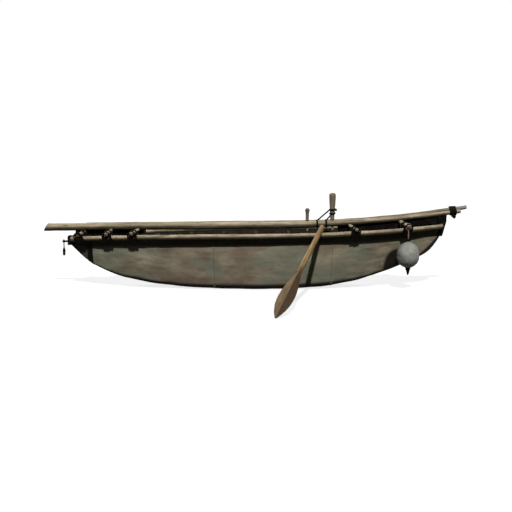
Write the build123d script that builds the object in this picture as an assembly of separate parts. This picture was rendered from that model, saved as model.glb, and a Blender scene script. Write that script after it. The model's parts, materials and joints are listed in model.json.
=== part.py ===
"""Open double-ended fishing boat: a hide cover on a lashed wood frame, beached on its flat bottom.

Millimetres. +X is forward to the bow, +Y to port, +Z up. The origin is on the floor, under the
middle of the flat bottom. Each node is written to its own STEP file in parts/.
"""

import math
import os
from collections import namedtuple

from build123d import *

# Driving sizes of the hull
HALF_LENGTH = 2560.0
HALF_BEAM = 590.0
TIP_HALF = 36.0
SHEER_MID = 742.0
SHEER_TRIM = 30.0
SHEER_CURL = 60.0
HEM_DROP = 20.0

# Wall layers of the hull, from the cover inwards
COVER = 9.0
BATTEN = 16.0
RIB = 28.0
BOARD = 18.0
FIT = 0.4

# Poles
RAIL_R = 34.0
RAIL_STANDOFF = 12.0
RAIL_END_OUT = 30.0
POLE_R = 52.0
POLE_TIP_R = 28.0
POLE_Z = 847.0
POLE_SLOPE = 0.0098
POLE_BEND_X = 300.0
POLE_BOW_RISE = 172.0
POLE_TAPER_X = 600.0
MAIN_STERN_OUT = 308.0
MAIN_BOW_OUT = 230.0
SECOND_STERN_IN = 230.0
SECOND_BOW_OUT = 324.0
HEWN_CUT = 30.0
HEWN_SPARE = 60.0
POLE_STEPS = 5

# Frame inside the cover
RIB_WIDTH = 42.0
KEELSON_WIDTH = 110.0
KEELSON_SHARE = 0.5
BATTEN_WIDTH = 44.0
BATTEN_GAP = 0.7
RIB_TOP_DROP = 6.0
BOARD_WIDTH = 105.0
BOARD_PITCH = 118.0

# Post heads at the two ends
HEAD_WIDTH = 112.0
BOW_HEAD_LENGTH = 126.0
BOW_HEAD_DEPTH = 120.0
BOW_HEAD_OUT = 42.0
STERN_HEAD_LENGTH = 108.0
STERN_HEAD_DEPTH = 60.0
STERN_HEAD_RISE = 66.0
STERN_HEAD_OUT = 18.0
HEAD_ROUND = 10.0
STEM_WIDTH = 84.0
STEM_FOOT_SHARE = 0.6

# Dark timbers that carry the long poles over the two ends
BEARER_WIDTH = 64.0
BEARER_DEPTH = 100.0
BEARER_PAST = 60.0
BEARER_POST_GAP = 80.0

# Lashings
LASH = 9.0
LASH_WIDTH = 24.0
LASH_FIT = 0.8
POLE_LASH_WIDTH = 62.0
POLE_LASH_OUT = 140.0
LASH_CLEAR = 2.0

# Post, peg and their cords
POST_X = 1040.0
POST_HEIGHT = 362.0
POST_FOOT_R = 29.0
POST_TOP_R = 47.0
POST_CROWN = 24.0
POST_CROWN_IN = 16.0
SEAT_SHARE = 0.8
PEG_X = 700.0
PEG_HEIGHT = 168.0
PEG_R = 24.0
PEG_HEAD_R = 31.0
PEG_HEAD_HEIGHT = 52.0
PEG_HEAD_FLARE = 14.0
PEG_CROWN = 16.0
TENON_R = 20.0
TENON_OUT = 46.0
CORD_R = 10.0
# Distance of each cord's foot aft of the post, and height of its upper end over the pole
POST_CORDS = [(215.0, 165.0), (88.0, 85.0)]

# Stern peg and the short cord on it
STERN_PEG_R = 13.0
STERN_PEG_LENGTH = 78.0
TAIL_CORD_R = 7.0
TAIL_CORD_LENGTH = 168.0
TAIL_CORD_INSET = 18.0
STERN_PEG_DROP = 14.0

# Float
FLOAT_R = 148.0
FLOAT_HEIGHT = 352.0
FLOAT_DROP = 126.0
FLOAT_WIDE_SHARE = 0.46
END_FLAT = 9.0
NECK_R = 34.0
NECK_HEIGHT = 46.0
NECK_SINK = 14.0
NECK_TOP_SHARE = 0.62
FLOAT_OUT = 72.0
FLOAT_TAIL_R = 40.0
FLOAT_TAIL_END_R = 5.0
FLOAT_TAIL_LENGTH = 112.0
HANGER_R = 9.0

# Paddle
PADDLE_LENGTH = 2250.0
PADDLE_X = 835.0
PADDLE_LEAN = 23.4
PADDLE_RAKE = 17.0
PADDLE_INBOARD = 125.0
SHAFT_R = 33.0
SHAFT_IN_BLADE = 80.0
GRIP_ROUND_SHARE = 0.6

# Along the hull: share of the half-length, height of the bottom as a share of the cover's edge, half-width of
# the flat floor, round of the bilge, and what stands there: a stem (stem), keelson and upper batten (run),
# these with a rib and lower batten (rib), or with floor boards as well (deck)
Station = namedtuple("Station", "share keel_share floor_half bilge_r role")
STATIONS = [
    Station(-1.0, 0.9446, 14.0, 10.0, "stem"),
    Station(-0.9375, 0.6788, 32.0, 22.0, "stem"),
    Station(-0.859375, 0.4428, 66.0, 40.0, "run"),
    Station(-0.71875, 0.2179, 134.0, 67.0, "rib"),
    Station(-0.5390625, 0.0861, 219.0, 86.0, "rib"),
    Station(-0.359375, 0.0282, 292.0, 94.0, "deck"),
    Station(-0.1796875, 0.0042, 341.0, 98.0, "deck"),
    Station(0.0, -0.00554, 360.0, 100.0, "deck"),
    Station(0.1796875, 0.0055, 347.0, 98.0, "deck"),
    Station(0.359375, 0.0408, 292.0, 90.0, "deck"),
    Station(0.5390625, 0.1444, 209.0, 76.0, "rib"),
    Station(0.71875, 0.3238, 122.0, 54.0, "rib"),
    Station(0.859375, 0.5005, 62.0, 36.0, "run"),
    Station(0.9375, 0.6517, 35.0, 20.0, "stem"),
    Station(0.9765625, 0.8192, 22.0, 14.0, "stem"),
    Station(1.0, 0.9483, 14.0, 10.0, "stem"),
]

# Share of the half-length at the middle, radius, rise of the middle over the rails, forward shift of the two
# ends, overhang past the rail's centre
CrossPole = namedtuple("CrossPole", "name share radius crown sweep overhang")
CROSS_POLES = [
    CrossPole("stern", -0.916, 31.0, 10.0, -30.0, 70.0),
    CrossPole("aft", -0.7715, 29.0, 18.0, -10.0, 90.0),
    CrossPole("quarter", -0.627, 27.0, 12.0, -25.0, 95.0),
    CrossPole("fore", 0.4988, 25.0, 12.0, 30.0, 95.0),
    CrossPole("bow", 0.7695, 30.0, 28.0, 40.0, 95.0),
]

# Height of each side batten and the kinds of station that it runs through
Batten = namedtuple("Batten", "name height roles")
BATTENS = [Batten("upper", 560.0, ("run", "rib", "deck")), Batten("lower", 370.0, ("rib", "deck"))]

# Shares of the half-length: extra sections of the rails, and where one hide is sewn to the next
RAIL_SHARES = (-0.3125, 0.0, 0.25, 0.6445)
SEAM_SHARES = (-0.873, -0.2188, 0.3945)
HIDE_NAMES = ("hide_stern", "hide_aft", "hide_middle", "hide_bow")

# Blade of the paddle: distance from the tip, width, thickness at the ridge
Blade = namedtuple("Blade", "from_tip width thick")
BLADE = [
    Blade(0.0, 30.0, 12.0),
    Blade(170.0, 150.0, 26.0),
    Blade(450.0, 212.0, 40.0),
    Blade(800.0, 140.0, 54.0),
    Blade(1080.0, 60.0, 60.0),
]
# Shares that round the float's profile: out and up on its lower and on its upper arc
EGG_LOW = (0.74, 0.32)
EGG_HIGH = (0.72, 0.70)
MOST_STEEP = 1.6
BILGE_SHARE = 0.7
LEAST_HALF = 6.0
COVER_OPEN = 60.0
BIG = 8000.0


def half_breadth(x, out=0.0):
    """Half-breadth of the cover's top edge, or of a curve that runs out from it, in plan."""
    rise = HALF_BEAM - TIP_HALF
    radius = (HALF_LENGTH ** 2 + rise ** 2) / (2 * rise)
    return TIP_HALF + rise - radius + math.sqrt((radius + out) ** 2 - x ** 2)


def sheer(x):
    """Height of the rail's centre line."""
    share = x / HALF_LENGTH
    return SHEER_MID + SHEER_TRIM * share + SHEER_CURL * share ** 3


def hem(x):
    """Height of the cover's top edge."""
    return sheer(x) - HEM_DROP


def station_x(index):
    """Where a station is along the hull."""
    return STATIONS[index].share * HALF_LENGTH


def keel(index):
    """Height of the bottom at a station."""
    return STATIONS[index].keel_share * hem(station_x(index))


def cross_x(cross):
    """Where the middle of a cross pole is along the hull."""
    return cross.share * HALF_LENGTH


def seat_x(cross):
    """Where a cross pole lies over the rails."""
    return cross_x(cross) + cross.sweep


def rail_point(x, side):
    """A point on a rail's centre line; side is 1 to port and -1 to starboard."""
    return Vector(x, side * half_breadth(x, RAIL_STANDOFF + RAIL_R), sheer(x))


def rail_plane(x, side):
    """A plane across a rail, square to its run."""
    ahead = rail_point(x + 1.0, side)
    behind = rail_point(x - 1.0, side)
    return Plane(origin=rail_point(x, side), z_dir=ahead - behind)


def pole_z(x):
    """Height of the long poles' centre lines: straight aft, then one arc up to the bow."""
    run = HALF_LENGTH + SECOND_BOW_OUT - POLE_BEND_X
    bend_r = (run ** 2 + POLE_BOW_RISE ** 2) / (2 * POLE_BOW_RISE)
    turn = math.atan(POLE_SLOPE)
    centre_x = POLE_BEND_X - bend_r * math.sin(turn)
    centre_z = POLE_Z + bend_r * math.cos(turn)
    if x < POLE_BEND_X:
        return POLE_Z + POLE_SLOPE * (x - POLE_BEND_X)
    return centre_z - math.sqrt(bend_r ** 2 - (x - centre_x) ** 2)


def across_plane(x):
    """A plane square to the boat's length, its own axes along +Y and +Z."""
    return Plane(origin=(x, 0, 0), x_dir=(0, 1, 0), z_dir=(1, 0, 0))


def slab(x0, x1, y0, y1, z0, z1):
    """A box from its six limits."""
    middle = ((x0 + x1) / 2, (y0 + y1) / 2, (z0 + z1) / 2)
    return Pos(*middle) * Box(x1 - x0, y1 - y0, z1 - z0)


def hull_form(index, inset):
    """Half-breadth, half-width of the floor, top, bottom and flare of one station, set in by inset."""
    x = station_x(index)
    before = max(index - 1, 0)
    after = min(index + 1, len(STATIONS) - 1)
    run = station_x(after) - station_x(before)
    steep = math.hypot(1.0, (keel(after) - keel(before)) / run)
    spread = math.hypot(1.0, (half_breadth(station_x(after)) - half_breadth(station_x(before))) / run)
    bottom = keel(index) + inset * min(steep, MOST_STEEP)
    flare = (half_breadth(x) - STATIONS[index].floor_half) / (hem(x) - keel(index))
    wall = half_breadth(x) - inset * spread * math.hypot(1.0, flare)
    return wall, wall - flare * (hem(x) - bottom), hem(x), bottom, flare


def hull_section(index, inset, rise):
    """One cross-section of the hull: flared sides, round bilges and a flat floor."""
    station = STATIONS[index]
    wall, floor_half, top, bottom, flare = hull_form(index, inset)
    x = station_x(index)
    if abs(station.share) == 1.0:
        x = x - station.share * inset
    high = wall + flare * rise
    points = [(high, top + rise), (floor_half, bottom), (-floor_half, bottom), (-high, top + rise)]
    face = make_face(across_plane(x) * Polyline(*points, close=True))
    low = face.vertices().sort_by(Axis.Z)[:2]
    return fillet(low, min(station.bilge_r, BILGE_SHARE * floor_half))


def hull_volume(inset, rise=0.0):
    """The hull's filled form, set in by inset, with its top raised by rise; too narrow ends are left off."""
    rows = []
    for index in range(len(STATIONS)):
        wall, floor_half, top, bottom, flare = hull_form(index, inset)
        if floor_half > LEAST_HALF and top - bottom > LEAST_HALF:
            rows.append(index)
    return loft([hull_section(index, inset, rise) for index in rows])


def station_face(index, points):
    """A flat outline of (y, z) points across the hull at a station."""
    return make_face(across_plane(station_x(index)) * Polyline(*points, close=True))


def stations_of(*roles):
    """Numbers of the stations of these kinds."""
    return [index for index, station in enumerate(STATIONS) if station.role in roles]


def side_batten(batten, side):
    """A flat lath along the inside of the cover, at one height, on one side."""
    faces = []
    for index in stations_of(*batten.roles):
        points = []
        for inset, step in ((0, -1), (0, 1), (BATTEN, 1), (BATTEN, -1)):
            wall, floor_half, top, bottom, flare = hull_form(index, COVER + BATTEN_GAP + inset)
            height = batten.height + step * BATTEN_WIDTH / 2
            points.append((side * (floor_half + flare * (height - bottom)), height))
        faces.append(station_face(index, points))
    return loft(faces, ruled=True)


def keelson():
    """The plank on the middle of the cover's floor."""
    faces = []
    for index in stations_of("run", "rib", "deck"):
        wall, floor_half, top, bottom, flare = hull_form(index, COVER + BATTEN_GAP)
        half = min(KEELSON_WIDTH / 2, KEELSON_SHARE * floor_half)
        high = bottom + BATTEN
        faces.append(station_face(index, [(-half, bottom), (half, bottom), (half, high), (-half, high)]))
    return loft(faces, ruled=True)


def rib_form(index):
    """Half-breadth, half-width of the floor, top and bottom that a rib keeps inside over its whole width."""
    x = station_x(index)
    inset = COVER + BATTEN_GAP + BATTEN + FIT
    at_rib = hull_form(index, inset)
    walls, floors, bottoms = [at_rib[0]], [at_rib[1]], [at_rib[3]]
    for near in (index - 1, index + 1):
        share = RIB_WIDTH / 2 / abs(station_x(near) - x)
        beside = hull_form(near, inset)
        walls.append(at_rib[0] + share * (beside[0] - at_rib[0]))
        floors.append(at_rib[1] + share * (beside[1] - at_rib[1]))
        bottoms.append(at_rib[3] + share * (beside[3] - at_rib[3]))
    wall, floor_half, bottom = min(walls), min(floors), max(bottoms)
    flare = (wall - floor_half) / (at_rib[2] - bottom)
    return wall - flare * RIB_TOP_DROP, floor_half, at_rib[2] - RIB_TOP_DROP, bottom


def rib(index):
    """A bent rib: up one side, across the floor and up the other, open at the top."""
    station = STATIONS[index]
    wall, floor_half, top, bottom = rib_form(index)
    flare = (wall - floor_half) / (top - bottom)
    lean = math.hypot(1.0, flare)
    corners = []
    for depth, rise in ((0.0, 0.0), (RIB, RIB)):
        low = bottom + depth
        foot = floor_half + flare * depth - depth * lean
        high = foot + flare * (top + rise - low)
        face = station_face(index, [(high, top + rise), (foot, low), (-foot, low), (-high, top + rise)])
        corners.append(fillet(face.vertices().sort_by(Axis.Z)[:2], max(station.bilge_r - depth, RIB)))
    return extrude(corners[0] - corners[1], amount=RIB_WIDTH / 2, both=True)


def floor_board(y):
    """One loose board that lies on the ribs and bends with them."""
    faces = []
    for index in stations_of("deck"):
        top = rib_form(index)[3] + RIB
        falls = [0.0]
        for near in (index - 1, index + 1):
            run = abs(station_x(near) - station_x(index))
            falls.append((top - rib_form(near)[3] - RIB) * RIB_WIDTH / 2 / run)
        low = top + max(falls) + FIT
        near, far = y - BOARD_WIDTH / 2, y + BOARD_WIDTH / 2
        faces.append(station_face(index, [(near, low), (far, low), (far, low + BOARD), (near, low + BOARD)]))
    return loft(faces, ruled=True)


def stem(toward):
    """The timber that fills an end of the cover, from the floor up to the hem."""
    faces = []
    for index in stations_of("stem"):
        share = STATIONS[index].share
        if share * toward > 0:
            wall, floor_half, top, bottom, flare = hull_form(index, COVER + BATTEN_GAP)
            foot = STEM_FOOT_SHARE * floor_half
            high = min(STEM_WIDTH / 2, foot + flare * (top - bottom))
            top = top - 2 * FIT
            x = station_x(index) - (share * COVER if abs(share) == 1.0 else 0.0)
            points = [(high, top), (foot, bottom), (-foot, bottom), (-high, top)]
            faces.append(make_face(across_plane(x) * Polyline(*points, close=True)))
    return loft(faces, ruled=True)


def ring_about(plane, inner_r, outer_r, width):
    """A band about the middle of a plane, square to it."""
    band = Cylinder(outer_r, width) - Cylinder(inner_r, width)
    return plane * band


def rail(side):
    """One rail: a pole bent along the cover's edge, from post head to post head."""
    end = HALF_LENGTH + RAIL_END_OUT
    places = [-end, end] + [seat_x(cross) for cross in CROSS_POLES]
    places += [share * HALF_LENGTH for share in RAIL_SHARES]
    return loft([rail_plane(x, side) * Circle(RAIL_R) for x in sorted(places)])


def pole_r(x):
    """Radius of the long poles: even aft, thinner towards the bow."""
    share = (x - POLE_TAPER_X) / (HALF_LENGTH + SECOND_BOW_OUT - POLE_TAPER_X)
    return POLE_R - (POLE_R - POLE_TIP_R) * max(share, 0.0)


def pole_y(x, side):
    """Where a long pole's centre is across the boat: the two poles lie against each other."""
    return side * (pole_r(x) + FIT / 2)


def long_pole(side, x0, x1, grow=0.0):
    """A pole along the boat: straight aft, then bent up and thinner to the bow; grow makes room about it."""
    tip = HALF_LENGTH + SECOND_BOW_OUT
    bent = [POLE_TAPER_X + (tip - POLE_TAPER_X) * step / POLE_STEPS for step in range(POLE_STEPS + 1)]
    sections = []
    for x in [x0, POLE_BEND_X] + bent:
        slope = pole_z(x + 1.0) - pole_z(x - 1.0)
        plane = Plane(origin=(x, pole_y(x, side), pole_z(x)), z_dir=(2.0, 0, slope))
        sections.append(plane * Circle(pole_r(x) + grow))
    pole = loft(sections, ruled=True)
    return pole & slab(-BIG, x1, -BIG, BIG, -BIG, BIG) if x1 < tip else pole


def hewn(pole, x, toward):
    """Cuts a pole's end to a slant, its lower edge left longest; toward is the way out along X."""
    blade = Plane(origin=(x, 0, pole_z(x)), z_dir=(toward, 0, HEWN_CUT / POLE_R))
    return pole - blade * Pos(0, 0, BIG / 2) * Box(BIG, BIG, BIG)


def bearer(x0, x1, rooms):
    """A timber under the long poles, cut to seat them and notched over what it crosses."""
    faces = []
    for x in (x0, (x0 + x1) / 2, x1):
        half, low = BEARER_WIDTH / 2, pole_z(x) - pole_r(x) - BEARER_DEPTH
        points = [(-half, low), (half, low), (half, pole_z(x)), (-half, pole_z(x))]
        faces.append(make_face(across_plane(x) * Polyline(*points, close=True)))
    timber = loft(faces, ruled=True)
    for room in rooms:
        timber = timber - room
    return max(timber.solids(), key=lambda solid: solid.volume)


def cross_lift(cross):
    """Height of a cross pole's centre over the rail's where they cross, so that their rounds just clear."""
    half = rail_point(seat_x(cross), 1).Y
    bulge = Vector(-cross.sweep, 0, cross.crown)
    turn = 2 * math.atan2(bulge.length, half)
    way = Vector(0, math.cos(turn), 0) - bulge.normalized() * math.sin(turn)
    normal = rail_plane(seat_x(cross), 1).z_dir.cross(way).normalized()
    return (RAIL_R + cross.radius + FIT) / abs(normal.Z)


def cross_seat(cross, side):
    """The middle of a cross pole where it lies over a rail."""
    point = rail_point(seat_x(cross), side)
    return Vector(point.X, point.Y, point.Z + cross_lift(cross))


def cross_path(cross):
    """A cross pole's centre line: one arc over both rails."""
    port = cross_seat(cross, 1)
    starboard = cross_seat(cross, -1)
    return ThreePointArc(port, (cross_x(cross), 0, port.Z + cross.crown), starboard)


def cross_pole(cross, radius):
    """A bowed pole over both rails, its ends standing out past them."""
    inner = cross_path(cross)
    bow = sweep(Plane(origin=inner @ 0, z_dir=inner % 0) * Circle(radius), path=inner)
    for end, away in ((inner @ 0, -(inner % 0)), (inner @ 1, inner % 1)):
        bow = bow + Solid.make_cylinder(radius, cross.overhang, Plane(origin=end, z_dir=away))
    return bow


def cross_end(cross, side):
    """The middle of a cross pole's end face, and the way it points."""
    inner = cross_path(cross)
    place, way = (inner @ 0, -(inner % 0)) if side > 0 else (inner @ 1, inner % 1)
    return place + way * cross.overhang, way


def lashing(cross):
    """Bands about both rails, fore and aft of a cross pole, and about the cross pole outside each rail."""
    bands = []
    for side in (1, -1):
        for step in (-1, 1):
            along = seat_x(cross) + step * (cross.radius + LASH_WIDTH / 2 + LASH_CLEAR)
            bands.append(ring_about(rail_plane(along, side), RAIL_R + LASH_FIT, RAIL_R + LASH, LASH_WIDTH))
        end, way = cross_end(cross, side)
        place = end - way * (cross.overhang - RAIL_R - LASH_WIDTH / 2)
        about = Plane(origin=place, z_dir=way)
        bands.append(ring_about(about, cross.radius + FIT, cross.radius + LASH, LASH_WIDTH))
    return bands


def float_hang():
    """A plane across the bow cross pole, at its starboard end, where the float's ring hangs."""
    cross = CROSS_POLES[-1]
    end, way = cross_end(cross, -1)
    return Plane(origin=end - way * (cross.overhang - FLOAT_OUT), z_dir=way)


def post_head(x_out, length, low, high, toward):
    """The squared block on an end of the boat, cut to sit over the cover and under the poles."""
    inner_x = x_out - toward * length
    block = slab(min(x_out, inner_x), max(x_out, inner_x), -HEAD_WIDTH / 2, HEAD_WIDTH / 2, low, high)
    edges = block.edges().filter_by(Axis.Z)
    return chamfer(edges, HEAD_ROUND)


def revolved(points, place):
    """A turned piece from its half-profile of radius and height, about the Z axis at a place."""
    outline = Polyline(*[(r, 0, z) for r, z in points], close=True)
    return Pos(*place) * revolve(make_face(outline), Axis.Z)


def ovoid(radius, height):
    """An egg, widest a little under half-way up, standing on the origin, with small flats at its ends."""
    wide = height * FLOAT_WIDE_SHARE
    low_out, low_up = EGG_LOW
    high_out, high_up = EGG_HIGH
    low = ThreePointArc((END_FLAT, 0), (radius * low_out, wide * low_up), (radius, wide))
    shoulder = (radius * high_out, wide + (height - wide) * high_up)
    high = ThreePointArc((radius, wide), shoulder, (END_FLAT, height))
    foot = Line((0, 0), (END_FLAT, 0))
    head = Line((END_FLAT, height), (0, height))
    return revolve(make_face(Plane.XZ * Wire([foot, low, high, head, Line((0, height), (0, 0))])), Axis.Z)


def paddle_plane():
    """The paddle's own frame: origin where its shaft crosses the starboard rail, +Z up the shaft."""
    lean = math.radians(PADDLE_LEAN)
    rake = math.radians(PADDLE_RAKE)
    way = Vector(math.sin(rake), math.cos(rake) * math.cos(lean), math.cos(rake) * math.sin(lean))
    run = rail_plane(PADDLE_X, -1).z_dir
    off = run.cross(way).normalized()
    if off.Z < 0:
        off = off * -1.0
    centre = rail_point(PADDLE_X, -1) + off * (RAIL_R + SHAFT_R + FIT)
    return Plane(origin=centre, x_dir=way.cross(off), z_dir=way)


def lozenge(width, thick):
    """A blade's section: a ridge on each face and an edge on each side."""
    return make_face(Polyline((width / 2, 0), (0, thick / 2), (-width / 2, 0), (0, -thick / 2), close=True))


def paddle():
    """A one-piece paddle: leaf blade with a ridge, round shaft, rounded grip end."""
    tip = PADDLE_INBOARD - PADDLE_LENGTH
    blade = loft([Pos(0, 0, tip + row.from_tip) * lozenge(row.width, row.thick) for row in BLADE])
    neck = tip + BLADE[-1].from_tip
    foot = neck - SHAFT_IN_BLADE
    shaft = Solid.make_cylinder(SHAFT_R, PADDLE_INBOARD - foot, Plane(origin=(0, 0, foot)))
    end = shaft.edges().group_by(Axis.Z)[-1]
    shaft = fillet(end, SHAFT_R * GRIP_ROUND_SHARE)
    return paddle_plane() * (blade + shaft)


def cord_between(start, end, radius):
    """A taut cord, straight from one point to another."""
    return Solid.make_cylinder(radius, (end - start).length, Plane(origin=start, z_dir=end - start))


def sewn_hides(outer):
    """The cover as a hollow sheet, cut where one hide is sewn to the next."""
    cover = outer - hull_volume(COVER, COVER_OPEN)
    edges = [-BIG] + [share * HALF_LENGTH for share in SEAM_SHARES] + [BIG]
    hides = {}
    for name, x0, x1 in zip(HIDE_NAMES, edges, edges[1:]):
        hides[name] = cover & slab(x0, x1, -BIG, BIG, -BIG, BIG)
    return hides


def inner_frame():
    """Keelson and battens against the cover, ribs inside them, boards on the ribs and a stem in each end."""
    nodes = {"keelson": keelson()}
    for batten in BATTENS:
        for side, title in ((1, "port"), (-1, "starboard")):
            nodes[f"{batten.name}_batten_{title}"] = side_batten(batten, side)
    for number, index in enumerate(stations_of("rib", "deck"), 1):
        nodes[f"rib_{number}"] = rib(index)
    nodes["floor_boards"] = [floor_board(step * BOARD_PITCH) for step in (-1, 0, 1)]
    nodes["bow_stem"] = stem(1)
    nodes["stern_stem"] = stem(-1)
    return nodes


def top_poles(outer):
    """Post heads, rails, cross poles, lashings, long poles and the timbers under them."""
    nodes = {}
    main_stern, main_bow = -HALF_LENGTH - MAIN_STERN_OUT, HALF_LENGTH + MAIN_BOW_OUT
    second_stern, second_bow = SECOND_STERN_IN - HALF_LENGTH, HALF_LENGTH + SECOND_BOW_OUT
    nodes["main_pole"] = hewn(long_pole(-1, main_stern - HEWN_SPARE, main_bow), main_stern, -1)
    nodes["second_pole"] = long_pole(1, second_stern, second_bow)
    pole_room = [long_pole(side, main_stern, second_bow, FIT) for side in (1, -1)]

    # The heads sit over the cover's ends, and the bow one carries the poles.
    bow_out, stern_out = HALF_LENGTH + BOW_HEAD_OUT, -HALF_LENGTH - STERN_HEAD_OUT
    bow_hem, stern_hem = hem(HALF_LENGTH), hem(-HALF_LENGTH)
    bow_head = post_head(bow_out, BOW_HEAD_LENGTH, bow_hem - BOW_HEAD_DEPTH, pole_z(bow_out), 1)
    bow_head = bow_head - outer - pole_room[0] - pole_room[1]
    nodes["bow_head"] = max(bow_head.solids(), key=lambda solid: solid.volume)
    low, high = stern_hem - STERN_HEAD_DEPTH, stern_hem + STERN_HEAD_RISE
    nodes["stern_head"] = post_head(stern_out, STERN_HEAD_LENGTH, low, high, -1) - outer

    bow_in, stern_in = bow_out - BOW_HEAD_LENGTH, stern_out + STERN_HEAD_LENGTH
    between = slab((stern_out + stern_in) / 2, (bow_out + bow_in) / 2, -BIG, BIG, -BIG, BIG)
    beside = HEAD_WIDTH / 2 + FIT
    for side, title in ((1, "port"), (-1, "starboard")):
        nodes[f"rail_{title}"] = (rail(side) & between) - slab(-BIG, BIG, -beside, beside, -BIG, BIG)

    for cross in CROSS_POLES:
        pole = cross_pole(cross, cross.radius)
        nodes[f"cross_pole_{cross.name}"] = pole - pole_room[0] - pole_room[1]
        nodes[f"lashing_{cross.name}"] = lashing(cross)
    rooms = pole_room + [cross_pole(cross, cross.radius + FIT) for cross in CROSS_POLES]
    quarter = next(cross for cross in CROSS_POLES if cross.name == "quarter")
    nodes["stern_bearer"] = bearer(stern_in + FIT, cross_x(quarter) + BEARER_PAST, rooms)
    nodes["bow_bearer"] = bearer(POST_X + BEARER_POST_GAP, bow_in - FIT, rooms)

    # The two poles are bound together ahead of the bow head.
    lash_x = HALF_LENGTH + POLE_LASH_OUT
    across = Plane(origin=(lash_x, 0, pole_z(lash_x)), x_dir=(0, 1, 0),
                   z_dir=(2.0, 0, pole_z(lash_x + 1.0) - pole_z(lash_x - 1.0)))
    thick = pole_r(lash_x - POLE_LASH_WIDTH / 2)
    slot = SlotCenterToCenter(2 * thick + FIT, 2 * (thick + LASH))
    hoop = extrude(across * slot, amount=POLE_LASH_WIDTH / 2, both=True)
    nodes["pole_lashing"] = hoop - pole_room[0] - pole_room[1]
    return nodes


def line_posts(main):
    """The main pole bored for tenons, the post and peg that stand on it, and the post's taut cords."""
    seat = POLE_R * SEAT_SHARE
    tenon = [(0, -POLE_R - TENON_OUT), (TENON_R, -POLE_R - TENON_OUT), (TENON_R, seat)]
    post_top, peg_top = POLE_R + POST_HEIGHT, POLE_R + PEG_HEIGHT
    post_side = [(POST_FOOT_R, seat), (POST_TOP_R, post_top - POST_CROWN)]
    post_cap = [(POST_TOP_R - POST_CROWN_IN, post_top), (0, post_top)]
    head_low = peg_top - PEG_HEAD_HEIGHT
    peg_side = [(PEG_R, seat), (PEG_R, head_low), (PEG_HEAD_R, head_low + PEG_HEAD_FLARE)]
    peg_cap = [(PEG_HEAD_R, peg_top - PEG_CROWN), (PEG_HEAD_R - PEG_CROWN, peg_top), (0, peg_top)]
    pole_room = long_pole(-1, -HALF_LENGTH, HALF_LENGTH + SECOND_BOW_OUT, FIT)
    nodes = {}
    for name, x, profile in (("line_post", POST_X, tenon + post_side + post_cap),
                             ("line_peg", PEG_X, tenon + peg_side + peg_cap)):
        place = Pos(x, pole_y(x, -1), pole_z(x))
        main = main - place * Cylinder(TENON_R + FIT, 4 * POLE_R)
        keep = place * Cylinder(TENON_R, 4 * POLE_R)
        nodes[name] = revolved(profile, (x, pole_y(x, -1), pole_z(x))) - (pole_room - keep)
    nodes["main_pole"] = main

    wide = [(r + FIT, z) for r, z in post_side]
    post_room = revolved([(0, seat)] + wide + [(0, post_top)], (POST_X, pole_y(POST_X, -1), pole_z(POST_X)))
    cords = []
    for foot, height in POST_CORDS:
        x = POST_X - foot
        low = Vector(x, pole_y(x, -1), pole_z(x) + pole_r(x) - CORD_R)
        high = Vector(POST_X, pole_y(POST_X, -1), pole_z(POST_X) + POLE_R + height)
        cords.append(cord_between(low, high, CORD_R) - post_room - pole_room)
    nodes["post_cords"] = cords
    return nodes


def stern_cord():
    """A peg on the stern head, with a loop on it and a short cord that hangs from the loop."""
    stern_out = -HALF_LENGTH - STERN_HEAD_OUT
    height = hem(-HALF_LENGTH) - STERN_PEG_DROP
    loop_x = stern_out - STERN_PEG_LENGTH + TAIL_CORD_INSET
    start = Plane(origin=(stern_out, 0, height), z_dir=(-1, 0, 0))
    loop = Plane(origin=(loop_x, 0, height), z_dir=(1, 0, 0))
    cord_top = height - STERN_PEG_R - 2 * TAIL_CORD_R - 2 * FIT
    down = Plane(origin=(loop_x, 0, cord_top), z_dir=(0, 0, -1))
    return {
        "stern_peg": Solid.make_cylinder(STERN_PEG_R, STERN_PEG_LENGTH, start),
        "tail_cord_loop": loop * Torus(STERN_PEG_R + TAIL_CORD_R + FIT, TAIL_CORD_R),
        "tail_cord": Solid.make_cylinder(TAIL_CORD_R, TAIL_CORD_LENGTH, down),
    }


def hung_float():
    """The float, its tied neck, its tail and the loop that hangs it from the bow cross pole."""
    hang = float_hang()
    carrier_r = CROSS_POLES[-1].radius
    ring = Torus(carrier_r + HANGER_R + FIT, HANGER_R)
    top = hang.origin - Vector(0, 0, carrier_r + FIT + HANGER_R)
    line = Solid.make_cylinder(HANGER_R, FLOAT_DROP, Plane(origin=top, z_dir=(0, 0, -1)))
    neck_low = top - Vector(0, 0, FLOAT_DROP + NECK_HEIGHT)
    neck = Solid.make_cone(NECK_R, NECK_R * NECK_TOP_SHARE, NECK_HEIGHT, Plane(origin=neck_low))
    base = neck_low - Vector(0, 0, FLOAT_HEIGHT - NECK_SINK)
    egg = Pos(*base) * ovoid(FLOAT_R, FLOAT_HEIGHT)
    tip = base - Vector(0, 0, FLOAT_TAIL_LENGTH - NECK_SINK)
    tail = Solid.make_cone(FLOAT_TAIL_END_R, FLOAT_TAIL_R, FLOAT_TAIL_LENGTH, Plane(origin=tip))
    return {
        "float_hanger": hang * ring + line,
        "float_neck": neck - egg,
        "float": egg,
        "float_tail": tail - egg,
    }


def build():
    """Every node by name, each a shape or a list of shapes that do not touch."""
    outer = hull_volume(0.0) - slab(-BIG, BIG, -BIG, BIG, -BIG, 0.0)
    nodes = sewn_hides(outer)
    nodes.update(inner_frame())
    nodes.update(top_poles(outer))
    nodes.update(line_posts(nodes["main_pole"]))
    nodes.update(stern_cord())
    nodes.update(hung_float())
    nodes["paddle"] = paddle()
    return nodes


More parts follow.
